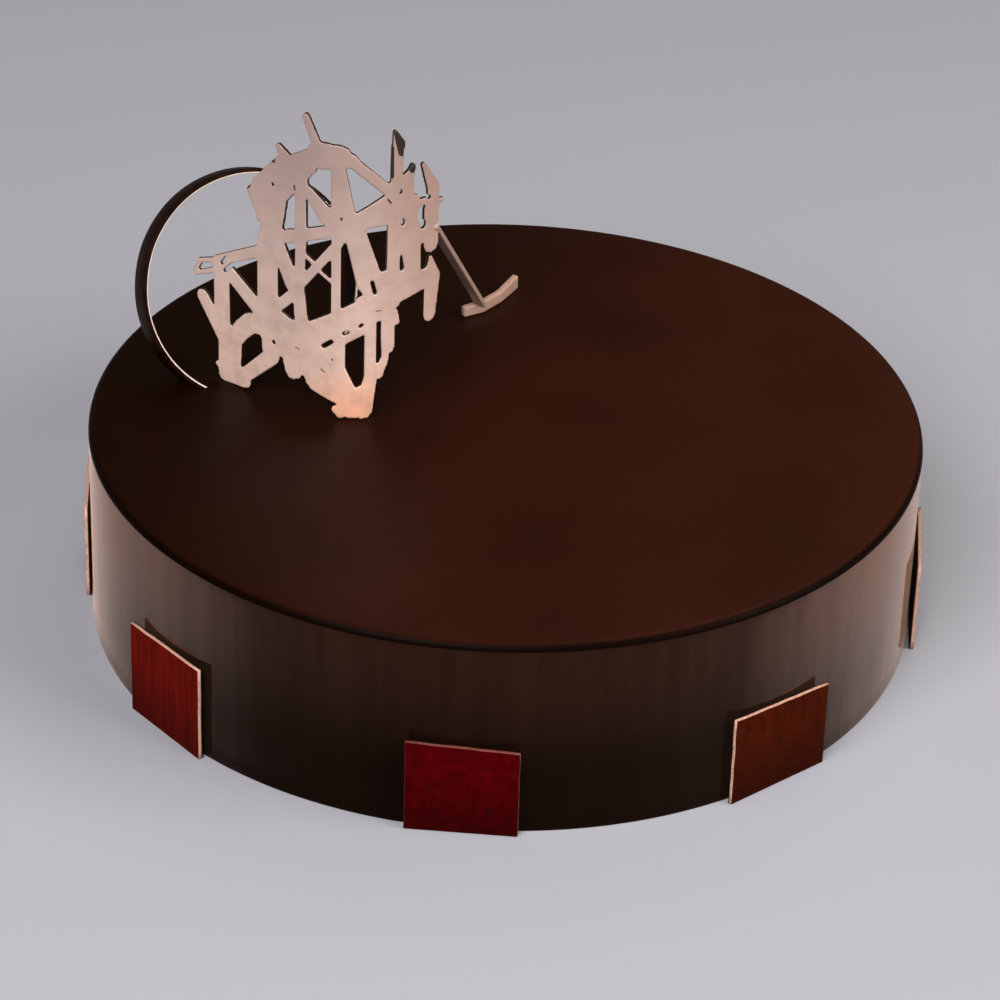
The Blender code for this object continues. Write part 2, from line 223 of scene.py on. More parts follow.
# The glaze: dark chocolate poured warm over the cake and left to set
glaze = {
    "topColour": "#2C0E05",      # lighter end of a painted shade across the top, front right
    "topShadedColour": "#120500",  # painted shade, darkest at the back left
    "topShadeAcross": (0.93, -0.37, 0.0),  # the way the painted shade lightens, in plan
    "topShadeRun": (-95.0, 35.0),    # mm that way, from full painted shade to none
    "cloudColour": "#1A0700",    # slow clouds of deeper brown
    "cloudShare": 0.5,
    "cloudSize": 45.0,           # mm
    "cloudRange": (0.35, 0.65),  # noise values that count as no cloud and as full cloud
    "topRoughness": 0.40,
    "topGloss": 0.08,
    "rimGloss": 0.02,            # less gloss along the rim
    # painted shade: a dark line along the rim
    "rimShadeColour": "#0C0402",
    "rimHeights": (59.2, 59.7),  # mm, where the dull, painted dark rim line gives way to the top
    "bubbleSize": 0.7,           # mm, air bubbles that set at the surface
    "bubbleSpacing": 38.0,
    "bubbleRelief": 0.12,
    "topIor": 1.5,
    "sideIor": 2.0,              # a syrup glaze sets glossier than plain chocolate
    "sideColour": "#200E07",
    "sideDeepColour": "#150804",
    "streakWidth": 5.0,          # mm, across one run down the side
    "streakSquash": 0.07,        # a run is about fourteen times as long as it is wide
    "streakRelief": 0.030,       # mm
    "streakRange": (0.35, 0.65),
    "paintedFootShadeColour": "#060201",     # painted shade: darker toward the foot
    "footHeights": (54.0, 14.0),  # mm, where the painted shade begins and where it is full
    "footDull": 0.22,            # share of the gloss left there
    "sideRoughness": 0.07,
    "sideGlossFacing": 0.07,     # gloss seen straight on
    "sideGlossGrazing": 1.0,     # and toward the cake's left and right outline
    "glossTurn": (0.34, 0.64),   # how far the surface has turned away, 0 to 1, between those two
    "sideTint": "#FFB48A",       # warm brown under the gloss
    "filmTurn": (0.7, 1.0),      # a film of cocoa butter shines only where it has turned this far
    "filmDepth": 0.6,            # what the streaks leave of it
    "filmIor": 2.0,
    "filmRoughness": 0.08,
    "sheen": 0.5,                # soft warm glow of that film
    "sheenTint": "#FFCDB0",
    "sheenRoughness": 0.35,
}


# on top it sets slowly, with a fine bloom that blurs what it mirrors
def makeTopGlaze():
    material, tree = startMaterial("Poured dark chocolate glaze top")
    place = addNode(tree, "ShaderNodeTexCoord").outputs["Object"]
    along = addNode(tree, "ShaderNodeVectorMath", {0: place, 1: glaze["topShadeAcross"]}, operation="DOT_PRODUCT")
    # painted shade: the top is mixed darker toward the back left and lighter toward the front right
    topShadeShare = addNode(tree, "ShaderNodeMapRange", {
        "Value": along.outputs["Value"], **between(glaze["topShadeRun"], mm),
    }, interpolation_type="SMOOTHSTEP")
    shadedTop = addNode(tree, "ShaderNodeMix", {
        0: topShadeShare.outputs[0], 6: linear(glaze["topShadedColour"]), 7: linear(glaze["topColour"]),
    }, data_type="RGBA")
    clouds = addNode(tree, "ShaderNodeTexNoise", {
        "Vector": place, "Scale": perMetre / glaze["cloudSize"], "Detail": 2.0,
    })
    shade = addNode(tree, "ShaderNodeMapRange", {
        "Value": clouds.outputs[0], **between(glaze["cloudRange"]), "To Max": glaze["cloudShare"],
    })
    clouded = addNode(tree, "ShaderNodeMix", {
        0: shade.outputs[0], 6: shadedTop.outputs[2], 7: linear(glaze["cloudColour"]),
    }, data_type="RGBA")
    height = addNode(tree, "ShaderNodeSeparateXYZ", {0: place}).outputs["Z"]
    level = addNode(tree, "ShaderNodeMapRange", {"Value": height, **between(glaze["rimHeights"], mm)})
    gloss = addNode(tree, "ShaderNodeMapRange", {
        "Value": level.outputs[0], "To Min": glaze["rimGloss"], "To Max": glaze["topGloss"],
    })
    # painted shade: the rim's dark line
    colour = addNode(tree, "ShaderNodeMix", {
        0: level.outputs[0], 6: linear(glaze["rimShadeColour"]), 7: clouded.outputs[2],
    }, data_type="RGBA")
    bubbles = addNode(tree, "ShaderNodeTexVoronoi", {
        "Vector": place, "Scale": perMetre / glaze["bubbleSpacing"],
    })
    bubbleRadius = glaze["bubbleSize"] / glaze["bubbleSpacing"] / 2
    dots = addNode(tree, "ShaderNodeMapRange", {
        "Value": bubbles.outputs["Distance"], "From Max": bubbleRadius, "To Min": 1.0, "To Max": 0.0,
    }, interpolation_type="SMOOTHSTEP")
    relief = addNode(tree, "ShaderNodeBump", {
        "Height": dots.outputs[0], "Distance": glaze["bubbleRelief"] * mm, "Strength": 1.0,
    })
    finishMaterial(tree, {
        "Base Color": colour.outputs[2], "Roughness": glaze["topRoughness"], "IOR": glaze["topIor"],
        "Specular IOR Level": gloss.outputs[0], "Normal": relief.outputs[0],
    })
    return material


# on the side it sets mirror smooth and keeps faint upright streaks where it ran
def makeSideGlaze():
    material, tree = startMaterial("Poured dark chocolate glaze side")
    place = addNode(tree, "ShaderNodeTexCoord").outputs["Object"]
    stretched = addNode(tree, "ShaderNodeMapping", {
        "Vector": place, "Scale": (1.0, 1.0, glaze["streakSquash"]),
    })
    streaks = addNode(tree, "ShaderNodeTexNoise", {
        "Vector": stretched.outputs[0], "Scale": perMetre / glaze["streakWidth"], "Detail": 3.0,
        "Roughness": 0.6,
    })
    streaked = addNode(tree, "ShaderNodeMix", {
        0: streaks.outputs[0], 6: linear(glaze["sideColour"]), 7: linear(glaze["sideDeepColour"]),
    }, data_type="RGBA")
    height = addNode(tree, "ShaderNodeSeparateXYZ", {0: place}).outputs["Z"]
    # painted shade: the side darkens toward its foot
    footShadeMask = addNode(tree, "ShaderNodeMapRange", {
        "Value": height, **between(glaze["footHeights"], mm),
    }, interpolation_type="SMOOTHSTEP")
    colour = addNode(tree, "ShaderNodeMix", {
        0: footShadeMask.outputs[0], 6: streaked.outputs[2], 7: linear(glaze["paintedFootShadeColour"]),
    }, data_type="RGBA")
    relief = addNode(tree, "ShaderNodeBump", {
        "Height": streaks.outputs[0], "Distance": glaze["streakRelief"] * mm, "Strength": 1.0,
    })
    turned = addNode(tree, "ShaderNodeLayerWeight").outputs["Facing"]
    glossy = addNode(tree, "ShaderNodeMapRange", {
        "Value": turned, **between(glaze["glossTurn"]),
        "To Min": glaze["sideGlossFacing"], "To Max": glaze["sideGlossGrazing"],
    })
    dull = addNode(tree, "ShaderNodeMapRange", {
        "Value": footShadeMask.outputs[0], "To Min": 1.0, "To Max": glaze["footDull"],
    })
    dulled = addNode(tree, "ShaderNodeMath", {0: glossy.outputs[0], 1: dull.outputs[0]}, operation="MULTIPLY")
    runs = addNode(tree, "ShaderNodeMapRange", {
        "Value": streaks.outputs[0], **between(glaze["streakRange"]),
        "To Min": 1.0, "To Max": glaze["filmDepth"],
    })
    gloss = addNode(tree, "ShaderNodeMath", {0: dulled.outputs[0], 1: runs.outputs[0]}, operation="MULTIPLY")
    film = addNode(tree, "ShaderNodeMapRange", {
        "Value": turned, **between(glaze["filmTurn"]), "To Max": runs.outputs[0],
    })
    finishMaterial(tree, {
        "Base Color": colour.outputs[2], "Roughness": glaze["sideRoughness"], "IOR": glaze["sideIor"],
        "Specular IOR Level": gloss.outputs[0], "Specular Tint": linear(glaze["sideTint"]),
        "Normal": relief.outputs[0], "Coat Weight": film.outputs[0], "Coat IOR": glaze["filmIor"],
        "Coat Roughness": glaze["filmRoughness"], "Sheen Weight": glaze["sheen"],
        "Sheen Tint": linear(glaze["sheenTint"]), "Sheen Roughness": glaze["sheenRoughness"],
    })
    return material


torte = {
    "radius": 120.0,        # mm
    "height": 60.0,
    "topFall": 0.25,        # the top dips this far before the rim turns over
    "fallWidth": 16.0,
    "rimRadius": 2.0,
    "footHeight": 3.2,
    "footCrease": 0.03,     # keeps the bottom edge crisp
    "footLip": 0.15,        # glaze gathered at the bottom edge
    "lipSteps": (0.35, 0.7, 1.0),
    "sides": 360,
    "firstRing": 1.0,       # mm, radius
    "topRings": 88,
    "fallRings": 15,
    "rimRings": 10,
    "sideRings": 26,
    "waveHeight": 0.05,     # mm, slow unevenness of the top
    "waveAcross": 23.0,     # mm to a radian
    "waveAway": 31.0,
    "waveShift": 1.3,       # radians
    "waveFade": 20.0,       # mm, how far from the rim it starts to die out
    "collarHeight": 0.55,   # mm, glaze drawn up where a decoration stands in it
    "collarWidth": 1.3,
    # plan lines in mm where decorations touch the glaze
    "contacts": [
        (-46.5, -6.0, -40.5, -5.6), (-86.0, 14.6, -78.0, 9.8), (-94.6, 11.6, -90.0, 13.6),
        (-55.2, 32.0, -50.4, 34.4), (-14.2, 57.0, -8.6, 60.3), (-8.6, 60.3, -3.4, 67.0),
        (-3.4, 67.0, 1.4, 76.2),
    ],
}


# radius and height from the middle of the top to the bottom edge
def torteProfile():
    radius, height = torte["radius"], torte["height"]
    rim, foot = torte["rimRadius"], torte["footHeight"]
    start = radius - rim - torte["fallWidth"]
    points = [(r, height) for r in np.linspace(torte["firstRing"], start, torte["topRings"])]
    for share in np.linspace(0.0, 1.0, torte["fallRings"])[1:-1]:
        points.append((start + share * torte["fallWidth"], height - torte["topFall"] * share ** 2))
    shoulder = height - torte["topFall"] - rim
    for angle in np.radians(np.linspace(90, 0, torte["rimRings"])):
        points.append((radius - rim + rim * math.cos(angle), shoulder + rim * math.sin(angle)))
    for z in np.linspace(shoulder, foot, torte["sideRings"])[1:]:
        points.append((radius, z))
    for share in torte["lipSteps"]:
        lip = torte["footLip"] * math.sin(share * math.pi / 2)
        points.append((radius + lip, foot * (1 - share) + torte["footCrease"]))
    points.append((radius + torte["footLip"], 0.0))
    return points


def lineDistance(x, y, line):
    x0, y0, x1, y1 = line
    span = np.array((x1 - x0, y1 - y0))
    share = np.clip(((x - x0) * span[0] + (y - y0) * span[1]) / (span @ span), 0.0, 1.0)
    return np.hypot(x - x0 - share * span[0], y - y0 - share * span[1])


# how much higher the top lies at these plan points than a level one
def topRelief(x, y, r):
    fade = min(1.0, (torte["radius"] - torte["rimRadius"] - r) / torte["waveFade"])
    wave = np.sin(x / torte["waveAcross"] + torte["waveShift"]) * np.cos(y / torte["waveAway"])
    collar = np.zeros(len(x))
    for line in torte["contacts"]:
        collar = np.maximum(collar, np.exp(-(lineDistance(x, y, line) / torte["collarWidth"]) ** 2))
    return torte["waveHeight"] * wave * fade + torte["collarHeight"] * collar


def makeTorte(topGlaze, sideGlaze):
    sides = torte["sides"]
    angles = 2 * math.pi * np.arange(sides) / sides
    rimStart = torte["height"] - torte["topFall"]
    bm = bmesh.new()
    loops = []
    for r, z in torteProfile():
        x, y = r * np.cos(angles), r * np.sin(angles)
        heights = np.full(sides, z)
        if z >= rimStart:
            heights += topRelief(x, y, r)
        loops.append([bm.verts.new((a * mm, b * mm, c * mm)) for a, b, c in zip(x, y, heights)])
    top = bm.verts.new((0, 0, torte["height"] * mm))
    bottom = bm.verts.new((0, 0, 0))
    for i in range(sides):
        j = (i + 1) % sides
        bm.faces.new((top, loops[0][i], loops[0][j]))
        bm.faces.new((bottom, loops[-1][j], loops[-1][i]))
        for upper, lower in zip(loops, loops[1:]):
            bm.faces.new((upper[i], lower[i], lower[j], upper[j]))
    rimEnd = rimStart - torte["rimRadius"]
    for face in bm.faces:
        face.smooth = True
        face.material_index = 0 if face.calc_center_median().z > rimEnd * mm else 1
    return addPiece("torte", meshFrom("torte", bm), [topGlaze, sideGlaze], ["cake"])


makeTorte(makeTopGlaze(), makeSideGlaze())
print("torte made")


# Plaques: tinted cocoa butter on a sheet of pale chocolate with a dark layer behind it, cut when set; on the
# cut edges that dark band is a painted shadow behind the pale layer
plaqueLook = {
    "thickness": 1.5,       # mm
    "cutDepth": 0.95,       # mm, how far back the pale layer goes
    "edge": 0.2,            # mm, rounding of the edges
    "edgeMiddle": (0.3, 0.25),  # shares of it, how far in and how far back the rounding's middle lies
    "wobble": 0.10,         # mm, how far the cut edges wander
    "wobbleSteps": 9,       # points along each side
    "cornerReach": 1.0,     # mm, a solid's points this near an end or its foot belong to it
    "bands": (0, 1, 1, 2, 2),  # material of each band, front to back: 0 face, 1 pale cut, 2 dark back layer, a painted shadow on the cut edge
    "ior": 1.47,
    "gloss": 0.015,
    "roughness": 0.22,
    "roughnessSpread": 0.12,
    "faces": {              # the tint, and where it lies thicker
        "bright": ("#680B00", "#460300"),
        "deep": ("#500106", "#330002"),
        "brown": ("#431202", "#2E0A00"),
    },
    "streakShare": {"bright": 0.75, "deep": 0.3, "brown": 0.35},  # brushed on, or dabbed on
    "streakWidth": 1.6,     # mm
    "streakSquash": 0.06,
    "streakRelief": 0.03,   # mm
    "dabSize": 3.0,         # mm
    "tintRange": (0.36, 0.64),
    "paintedFootShadeColour": "#0C0200",
    "footShade": 0.5,       # painted shade: how much darker the colour gets toward the foot
    "footHeights": (18.0, 2.0),  # mm, where the painted shade starts and where it is full
    "cuts": {               # the pale layer, and the crumb's shaded side
        "bright": ("#DDB6A6", "#B98672"),
        "deep": ("#7A463E", "#54241F"),
        "brown": ("#D2AC9A", "#A87866"),
    },
    "crumbSize": 0.714,     # mm, coarser than the real crumb so that it shows
    "crumbRange": (0.3, 0.7),
    "crumbRelief": 0.05,    # mm
    # the back's colour, also the painted shadow on the cut edges
    "darkBackColours": ("#2A140C", "#1A0B06"),
    "darkBackPatch": 3.33,      # mm
    "tints": {
        "plaque_front": "deep", "plaque_front_right": "brown", "plaque_right": "brown",
        "plaque_back_right": "deep", "plaque_back": "deep", "plaque_back_left": "bright",
        "plaque_left": "bright", "plaque_front_left": "bright",
    },
}


# the foil it set against leaves the face glossy, the brush leaves faint upright streaks and dabs
def makePlaqueFaceMaterial(tint):
    light, dark = plaqueLook["faces"][tint]
    material, tree = startMaterial("Tinted cocoa butter " + tint)
    place = addNode(tree, "ShaderNodeTexCoord").outputs["Object"]
    stretched = addNode(tree, "ShaderNodeMapping", {
        "Vector": place, "Scale": (1.0, 1.0, plaqueLook["streakSquash"]),
    })
    streaks = addNode(tree, "ShaderNodeTexNoise", {
        "Vector": stretched.outputs[0], "Scale": perMetre / plaqueLook["streakWidth"], "Detail": 4.0,
        "Roughness": 0.65,
    })
    dabs = addNode(tree, "ShaderNodeTexNoise", {
        "Vector": place, "Scale": perMetre / plaqueLook["dabSize"], "Detail": 6.0, "Roughness": 0.7,
    })
    laid = addNode(tree, "ShaderNodeMix", {
        0: plaqueLook["streakShare"][tint], 2: dabs.outputs[0], 3: streaks.outputs[0],
    })
    shade = addNode(tree, "ShaderNodeMapRange", {
        "Value": laid.outputs[0], **between(plaqueLook["tintRange"]),
    })
    tinted = addNode(tree, "ShaderNodeMix", {
        0: shade.outputs[0], 6: linear(light), 7: linear(dark),
    }, data_type="RGBA")
    height = addNode(tree, "ShaderNodeSeparateXYZ", {0: place}).outputs["Z"]
    # painted shade: the face darkens toward its foot
    foot = addNode(tree, "ShaderNodeMapRange", {
        "Value": height, **between(plaqueLook["footHeights"], mm), "To Max": plaqueLook["footShade"],
    })
    colour = addNode(tree, "ShaderNodeMix", {
        0: foot.outputs[0], 6: tinted.outputs[2], 7: linear(plaqueLook["paintedFootShadeColour"]),
    }, data_type="RGBA")
    relief = addNode(tree, "ShaderNodeBump", {
        "Height": streaks.outputs[0], "Distance": plaqueLook["streakRelief"] * mm, "Strength": 1.0,
    })
    rough = addNode(tree, "ShaderNodeMapRange", {
        "Value": streaks.outputs[0], "To Min": plaqueLook["roughness"],
        "To Max": plaqueLook["roughness"] + plaqueLook["roughnessSpread"],
    })
    finishMaterial(tree, {
        "Base Color": colour.outputs[2], "Roughness": rough.outputs[0], "IOR": plaqueLook["ior"],
        "Specular IOR Level": plaqueLook["gloss"], "Normal": relief.outputs[0],
    })
    return material


# the knife leaves a dry matt break with a fine crumb
def makeCutEdgeMaterial(tint):
    light, dark = plaqueLook["cuts"][tint]
    material, tree = startMaterial("Cut pale chocolate " + tint)
    place = addNode(tree, "ShaderNodeTexCoord").outputs["Object"]
    crumb = addNode(tree, "ShaderNodeTexNoise", {
        "Vector": place, "Scale": perMetre / plaqueLook["crumbSize"], "Detail": 3.0,
    })
    shade = addNode(tree, "ShaderNodeMapRange", {
        "Value": crumb.outputs[0], **between(plaqueLook["crumbRange"]),
    })
    colour = addNode(tree, "ShaderNodeMix", {
        0: shade.outputs[0], 6: linear(light), 7: linear(dark),
    }, data_type="RGBA")
    relief = addNode(tree, "ShaderNodeBump", {
        "Height": crumb.outputs[0], "Distance": plaqueLook["crumbRelief"] * mm, "Strength": 0.6,
    })
    finishMaterial(tree, {
        "Base Color": colour.outputs[2], "Roughness": 0.5, "IOR": 1.45, "Normal": relief.outputs[0],
    })
    return material


# spread by itself and never polished, so it is dull and a little cloudy; its band on the cut edges is a
# painted shadow behind the pale layer
def makeDarkBackMaterial():
    light, dark = plaqueLook["darkBackColours"]
    material, tree = startMaterial("Dark back layer and painted edge shadow")
    place = addNode(tree, "ShaderNodeTexCoord").outputs["Object"]
    clouds = addNode(tree, "ShaderNodeTexNoise", {
        "Vector": place, "Scale": perMetre / plaqueLook["darkBackPatch"], "Detail": 3.0,
    })
    colour = addNode(tree, "ShaderNodeMix", {
        0: clouds.outputs[0], 6: linear(light), 7: linear(dark),
    }, data_type="RGBA")
    finishMaterial(tree, {
        "Base Color": colour.outputs[2], "Roughness": 0.5, "IOR": plaqueLook["ior"],
        "Specular IOR Level": 0.2,
    })
    return material


# reads where a plaque's solid stands: its two directions in plan, its ends, its corner heights and its face
def readPlaque(node):
    near = plaqueLook["cornerReach"]
    spots = np.array([v.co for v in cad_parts[node].data.vertices]) / mm
    middle = (spots.min(0) + spots.max(0)) / 2
    outward = middle[:2] / np.hypot(*middle[:2])
    foot = spots[spots[:, 2] < near][:, :2]
    spread = np.linalg.eigh(np.cov((foot - foot.mean(0)).T))[1][:, -1]
    across = spread * np.sign(spread @ np.array((-outward[1], outward[0])))
    away = np.array((across[1], -across[0]))
    along = spots[:, :2] @ across
    depth = spots[:, :2] @ away
    left, right = along.min(), along.max()
    leftTop = spots[along < left + near][:, 2].max()
    rightTop = spots[along > right - near][:, 2].max()
    return across, away, left, right, leftTop, rightTop, depth.max()


def makePlaque(node, seed, materials):
    across, away, left, right, leftTop, rightTop, front = readPlaque(node)
    chance = random.Random(seed)
    steps = plaqueLook["wobbleSteps"]
    uv = [(i / steps, 0.0) for i in range(steps)] + [(1.0, i / steps) for i in range(steps)]
    uv += [(1 - i / steps, 1.0) for i in range(steps)] + [(0.0, 1 - i / steps) for i in range(steps)]
    wander = [chance.uniform(-1, 1) * plaqueLook["wobble"] for _ in uv]
    edge, thick = plaqueLook["edge"], plaqueLook["thickness"]
    inMiddle, backMiddle = plaqueLook["edgeMiddle"]
    # how far in from the cut and back from the face each loop lies
    layers = [
        (edge, 0.0), (inMiddle * edge, backMiddle * edge), (0.0, edge),
        (0.0, plaqueLook["cutDepth"]), (0.0, thick - edge), (edge, thick),
    ]
    bm = bmesh.new()
    loops = []
    for inset, depth in layers:
        loop = []
        for (u, v), push in zip(uv, wander):
            s = left + inset + (right - left - 2 * inset) * u
            top = leftTop + (rightTop - leftTop) * u
            z = inset + (top - 2 * inset) * v
            s += push if u in (0.0, 1.0) else 0.0
            z += push if v == 1.0 else 0.0
            spot = across * s + away * (front - depth)
            loop.append(bm.verts.new((spot[0] * mm, spot[1] * mm, max(z, 0.0) * mm)))
        loops.append(loop)
    bm.faces.new(loops[0])
    bm.faces.new(list(reversed(loops[-1]))).material_index = plaqueLook["bands"][-1]
    for band, upper, lower in zip(plaqueLook["bands"], loops, loops[1:]):
        for i in range(len(uv)):
            j = (i + 1) % len(uv)
            face = bm.faces.new((upper[i], upper[j], lower[j], lower[i]))
            face.material_index = band
            face.smooth = True
    bmesh.ops.recalc_face_normals(bm, faces=bm.faces)
    name = "bar" + node.removeprefix("plaque")
    return addPiece(name, meshFrom(name, bm), materials, [node])


darkBack = makeDarkBackMaterial()
plaqueLayers = {}
for tint in plaqueLook["faces"]:
    plaqueLayers[tint] = [makePlaqueFaceMaterial(tint), makeCutEdgeMaterial(tint), darkBack]
for number, node in enumerate(sorted(plaqueLook["tints"])):
    makePlaque(node, number, plaqueLayers[plaqueLook["tints"][node]])
print("plaques made")


# The ribbon: dark chocolate spread thin on a strip and closed to a hoop while it set
ribbon = {
    "radius": 33.3,         # mm, to the middle of its thickness
    "width": 7.8,
    "thickness": 1.5,
    "corner": 0.45,         # mm, rounding of its section
    "cornerSteps": 3,
    "centre": (-76.4, 30.9, 83.1),
    "turn": 27.6,           # degrees
    "lean": 21.7,
    "steps": 220,
    "waves": ((0.12, 5, 0.0), (0.08, 11, 1.0)),  # mm sideways, how many round the hoop, start in radians
    "sink": 0.6,            # mm that its feet go into the glaze
    "level": 60.0,          # height of the glaze
    "ior": 1.47,
    "colours": ("#22100A", "#120603"),
    "gloss": 0.03,
    "markSize": 3.85,       # mm
    "markRange": (0.3, 0.7),
    "markRelief": 0.04,     # mm
    # a pale painted highlight on the inner corner of the front edge
    "highlightColours": ("#FFF2EA", "#D8C0B2"),
    "highlightNoiseSize": 2.0,        # mm
}


# the film leaves it satin, with the soft marks of the spreader
def makeRibbonMaterial():
    light, dark = ribbon["colours"]
    material, tree = startMaterial("Dark chocolate set on film")
    place = addNode(tree, "ShaderNodeTexCoord").outputs["Object"]
    marks = addNode(tree, "ShaderNodeTexNoise", {
        "Vector": place, "Scale": perMetre / ribbon["markSize"], "Detail": 3.0,
    })
    shade = addNode(tree, "ShaderNodeMapRange", {"Value": marks.outputs[0], **between(ribbon["markRange"])})
    colour = addNode(tree, "ShaderNodeMix", {
        0: shade.outputs[0], 6: linear(light), 7: linear(dark),
    }, data_type="RGBA")
    relief = addNode(tree, "ShaderNodeBump", {
        "Height": marks.outputs[0], "Distance": ribbon["markRelief"] * mm, "Strength": 0.5,
    })
    finishMaterial(tree, {
        "Base Color": colour.outputs[2], "Roughness": 0.42, "IOR": ribbon["ior"],
        "Specular IOR Level": ribbon["gloss"], "Normal": relief.outputs[0],
    })
    return material


# a pale painted highlight along the inner corner of the hoop's front edge
def makeRibbonHighlightMaterial():
    light, dark = ribbon["highlightColours"]
    material, tree = startMaterial("Ribbon edge painted highlight")
    place = addNode(tree, "ShaderNodeTexCoord").outputs["Object"]
    highlightNoise = addNode(tree, "ShaderNodeTexNoise", {
        "Vector": place, "Scale": perMetre / ribbon["highlightNoiseSize"], "Detail": 2.0,
    })
    colour = addNode(tree, "ShaderNodeMix", {
        0: highlightNoise.outputs[0], 6: linear(light), 7: linear(dark),
    }, data_type="RGBA")
    finishMaterial(tree, {"Base Color": colour.outputs[2], "Roughness": 0.35, "IOR": ribbon["ior"]})
    return material


# the strip's section with rounded corners: out from the hoop, and along its axis
def ribbonSection(halfThick, halfWide, corner):
    section = []
    for sx, sy, start in ((1, 1, 0), (-1, 1, 90), (-1, -1, 180), (1, -1, 270)):
        for step in range(ribbon["cornerSteps"] + 1):
            angle = math.radians(start + 90 * step / ribbon["cornerSteps"])
            out = sx * (halfThick - corner) + corner * math.cos(angle)
            section.append((out, sy * (halfWide - corner) + corner * math.sin(angle)))
    return section


# edge is the painted highlight material for the inner front corner
def makeRibbon(body, edge):
    turn, lean = math.radians(ribbon["turn"]), math.radians(ribbon["lean"])
    sideways = Vector((math.cos(turn), math.sin(turn), 0))
    axis = Vector((math.sin(turn) * math.cos(lean), -math.cos(turn) * math.cos(lean), math.sin(lean)))
    upward = axis.cross(sideways)
    centre = Vector(ribbon["centre"])
    halfThick, halfWide, corner = ribbon["thickness"] / 2, ribbon["width"] / 2, ribbon["corner"]
    section = ribbonSection(halfThick, halfWide, corner)
    bm = bmesh.new()
    loops = []
    for step in range(ribbon["steps"]):
        angle = 2 * math.pi * step / ribbon["steps"]
        outward = sideways * math.cos(angle) + upward * math.sin(angle)
        wave = sum(reach * math.sin(turns * angle + start) for reach, turns, start in ribbon["waves"])
        loop = []
        for out, along in section:
            spot = centre + outward * (ribbon["radius"] + out) + axis * (along + wave)
            loop.append(bm.verts.new(spot * mm))
        loops.append(loop)
    count = len(section)
    for step in range(ribbon["steps"]):
        first, second = loops[step], loops[(step + 1) % ribbon["steps"]]
        for i in range(count):
            j = (i + 1) % count
            face = bm.faces.new((first[i], first[j], second[j], second[i]))
            face.smooth = True
            out, along = (section[i][0] + section[j][0]) / 2, (section[i][1] + section[j][1]) / 2
            # only the inner corner of the front edge gets the painted highlight
            face.material_index = 1 if out < corner - halfThick and along > halfWide - corner else 0
    cut = bmesh.ops.bisect_plane(
        bm, geom=list(bm.verts) + list(bm.edges) + list(bm.faces), dist=1e-7,
        plane_co=(0, 0, (ribbon["level"] - ribbon["sink"]) * mm), plane_no=(0, 0, 1), clear_inner=True,
    )
    bmesh.ops.holes_fill(bm, edges=[item for item in cut["geom_cut"] if isinstance(item, bmesh.types.BMEdge)])
    bmesh.ops.recalc_face_normals(bm, faces=bm.faces)
    return addPiece("ribbon", meshFrom("ribbon", bm), [body, edge], ["ring"])


makeRibbon(makeRibbonMaterial(), makeRibbonHighlightMaterial())
print("ribbon made")


# The lattice: dark chocolate piped in crossing lines, bent when soft, its front dusted with pearl
lattice = {
    "voxel": 0.30,          # mm
    "smoothing": 1,
    "front": (-45.0, -6.3),  # mm, plan of the foremost point
    "bendRadius": 26.0,
    "bendLeft": 34.0,       # degrees
    "bendRight": 40.0,
    "level": 60.3,          # mm, height of the flat sheet's lower edge
    "strutBehind": 9.0,     # mm, all of the lattice's right half beyond this is the fallen line
    "fallenFace": (0.2, -0.82, 0.54),  # the way its dusted face looks
    "fallenDusted": (-0.05, 0.15),
    "dusted": (0.3, 0.8),   # how squarely a face looks ahead where the dust starts and where it is full
    "turnedBack": (-0.8, 0.0),  # and where it looks squarely back, and just sideways
    # strokes without dust, on the flat sheet: across and up at both ends, half width, in mm
    "bare": [
        (13.2, 90.8, 14.7, 84.2, 1.4), (18.5, 78.8, 18.2, 78.0, 1.3), (11.5, 86.0, 11.6, 77.0, 0.5),
        (-25.6, 77.8, -24.9, 77.3, 0.7), (-34.6, 65.6, -33.4, 66.8, 0.5), (-17.5, 71.8, -17.3, 70.6, 0.3),
        (-2.8, 64.7, -2.7, 64.4, 0.35), (10.4, 70.2, 11.3, 69.0, 0.25), (7.2, 35.1, 8.6, 35.3, 0.15),
        (-8.4, 15.6, -7.4, 14.9, 0.2), (-17.2, 20.4, -15.4, 20.1, 0.15), (-5.3, 19.3, -4.9, 19.2, 0.2),
    ],
    "bareFade": (0.75, 1.25),  # where such a stroke's edge starts and ends, in half widths
    "dustLow": "#DCBFB2",   # painted light: lighter and warmer low down, darker and greyer toward the top
    "dustMiddle": "#C8AEA5",
    "dustHigh": "#9E8882",
    "lowToMiddle": (72.0, 97.0),  # mm, height
    "middleToHigh": (97.0, 138.0),
    "tip": (-43.5, -5.8, 60.0),
    "tipReach": (3.0, 20.0),  # mm
    "tipColour": "#EEB093",  # a painted warm glow at the tip
    "towardRightColour": "#8C6552",  # darker and browner toward the right
    "towardRightAcross": (-42.0, -6.0),  # mm
    "towardRightShare": 0.65,
    "mottleColour": "#927C76",  # thicker and thinner patches of dust
    "mottleSize": 7.0,      # mm
    "mottleRange": (0.45, 0.75),
    "mottleShare": 0.45,
    "wornSize": 6.25,       # mm, patches that make the dust's edge uneven
    "wornShare": 0.5,
    "coverRange": (0.35, 0.65),
    "bareColour": "#20110B",
    "underColour": "#4A2E22",  # the back lay on the sheet it was piped on, and set dull and paler
    "underRange": (-0.1, -0.7),
    "roughness": 0.36,
    "ior": 1.5,
    "grain": 0.5,           # mm, drawn coarser than real dust so that it shows
    "grainRelief": 0.03,
}
